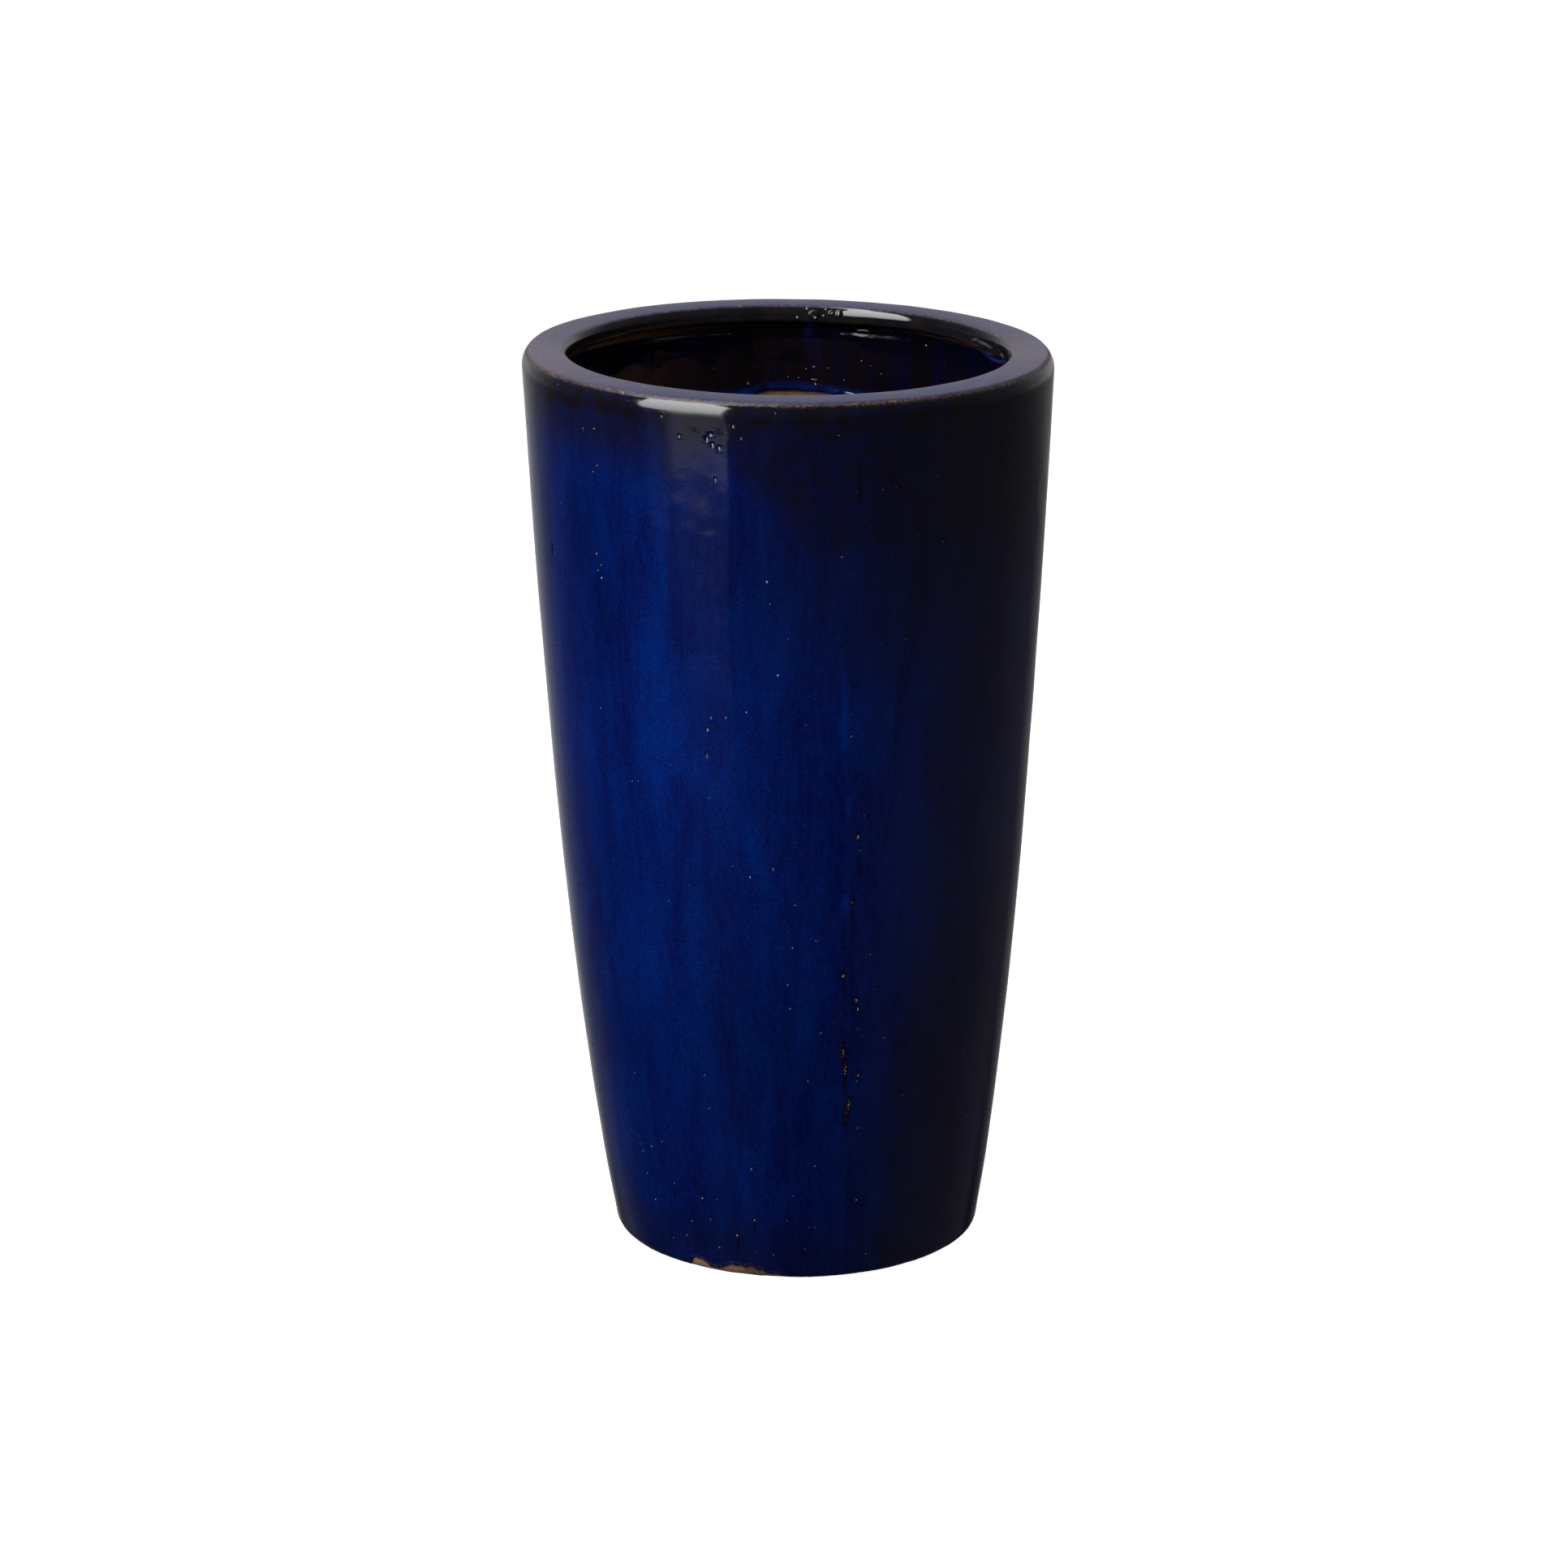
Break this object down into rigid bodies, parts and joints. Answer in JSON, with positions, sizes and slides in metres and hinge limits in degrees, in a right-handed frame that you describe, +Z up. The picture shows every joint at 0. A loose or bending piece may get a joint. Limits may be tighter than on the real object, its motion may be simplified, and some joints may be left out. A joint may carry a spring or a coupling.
{
  "type": "planter pot",
  "caption": "Tall round glazed clay planter with a flared wall, a thick lip that overhangs inside, a raised floor and a drain hole.",
  "frame": {"origin": "centre of the foot, on the ground", "axes": "+Z up along the axis of revolution; the wall's two upright seams lie at -Y and +Y"},
  "size_m": [0.4082, 0.4082, 0.711],
  "materials": {
    "clay": "unglazed fired clay, matt and slightly gritty",
    "glaze": "deep cobalt blue gloss glaze, thin and brown where it breaks over edges"
  },
  "bodies": {
    "root": {"wall_half_left": "clay", "wall_half_right": "clay", "lip_ring": "clay", "floor_slab": "clay", "floor_joint_coil": "clay", "seam_coil_front": "clay", "seam_coil_back": "clay", "glaze_coat": "glaze"}
  },
  "joints": []
}
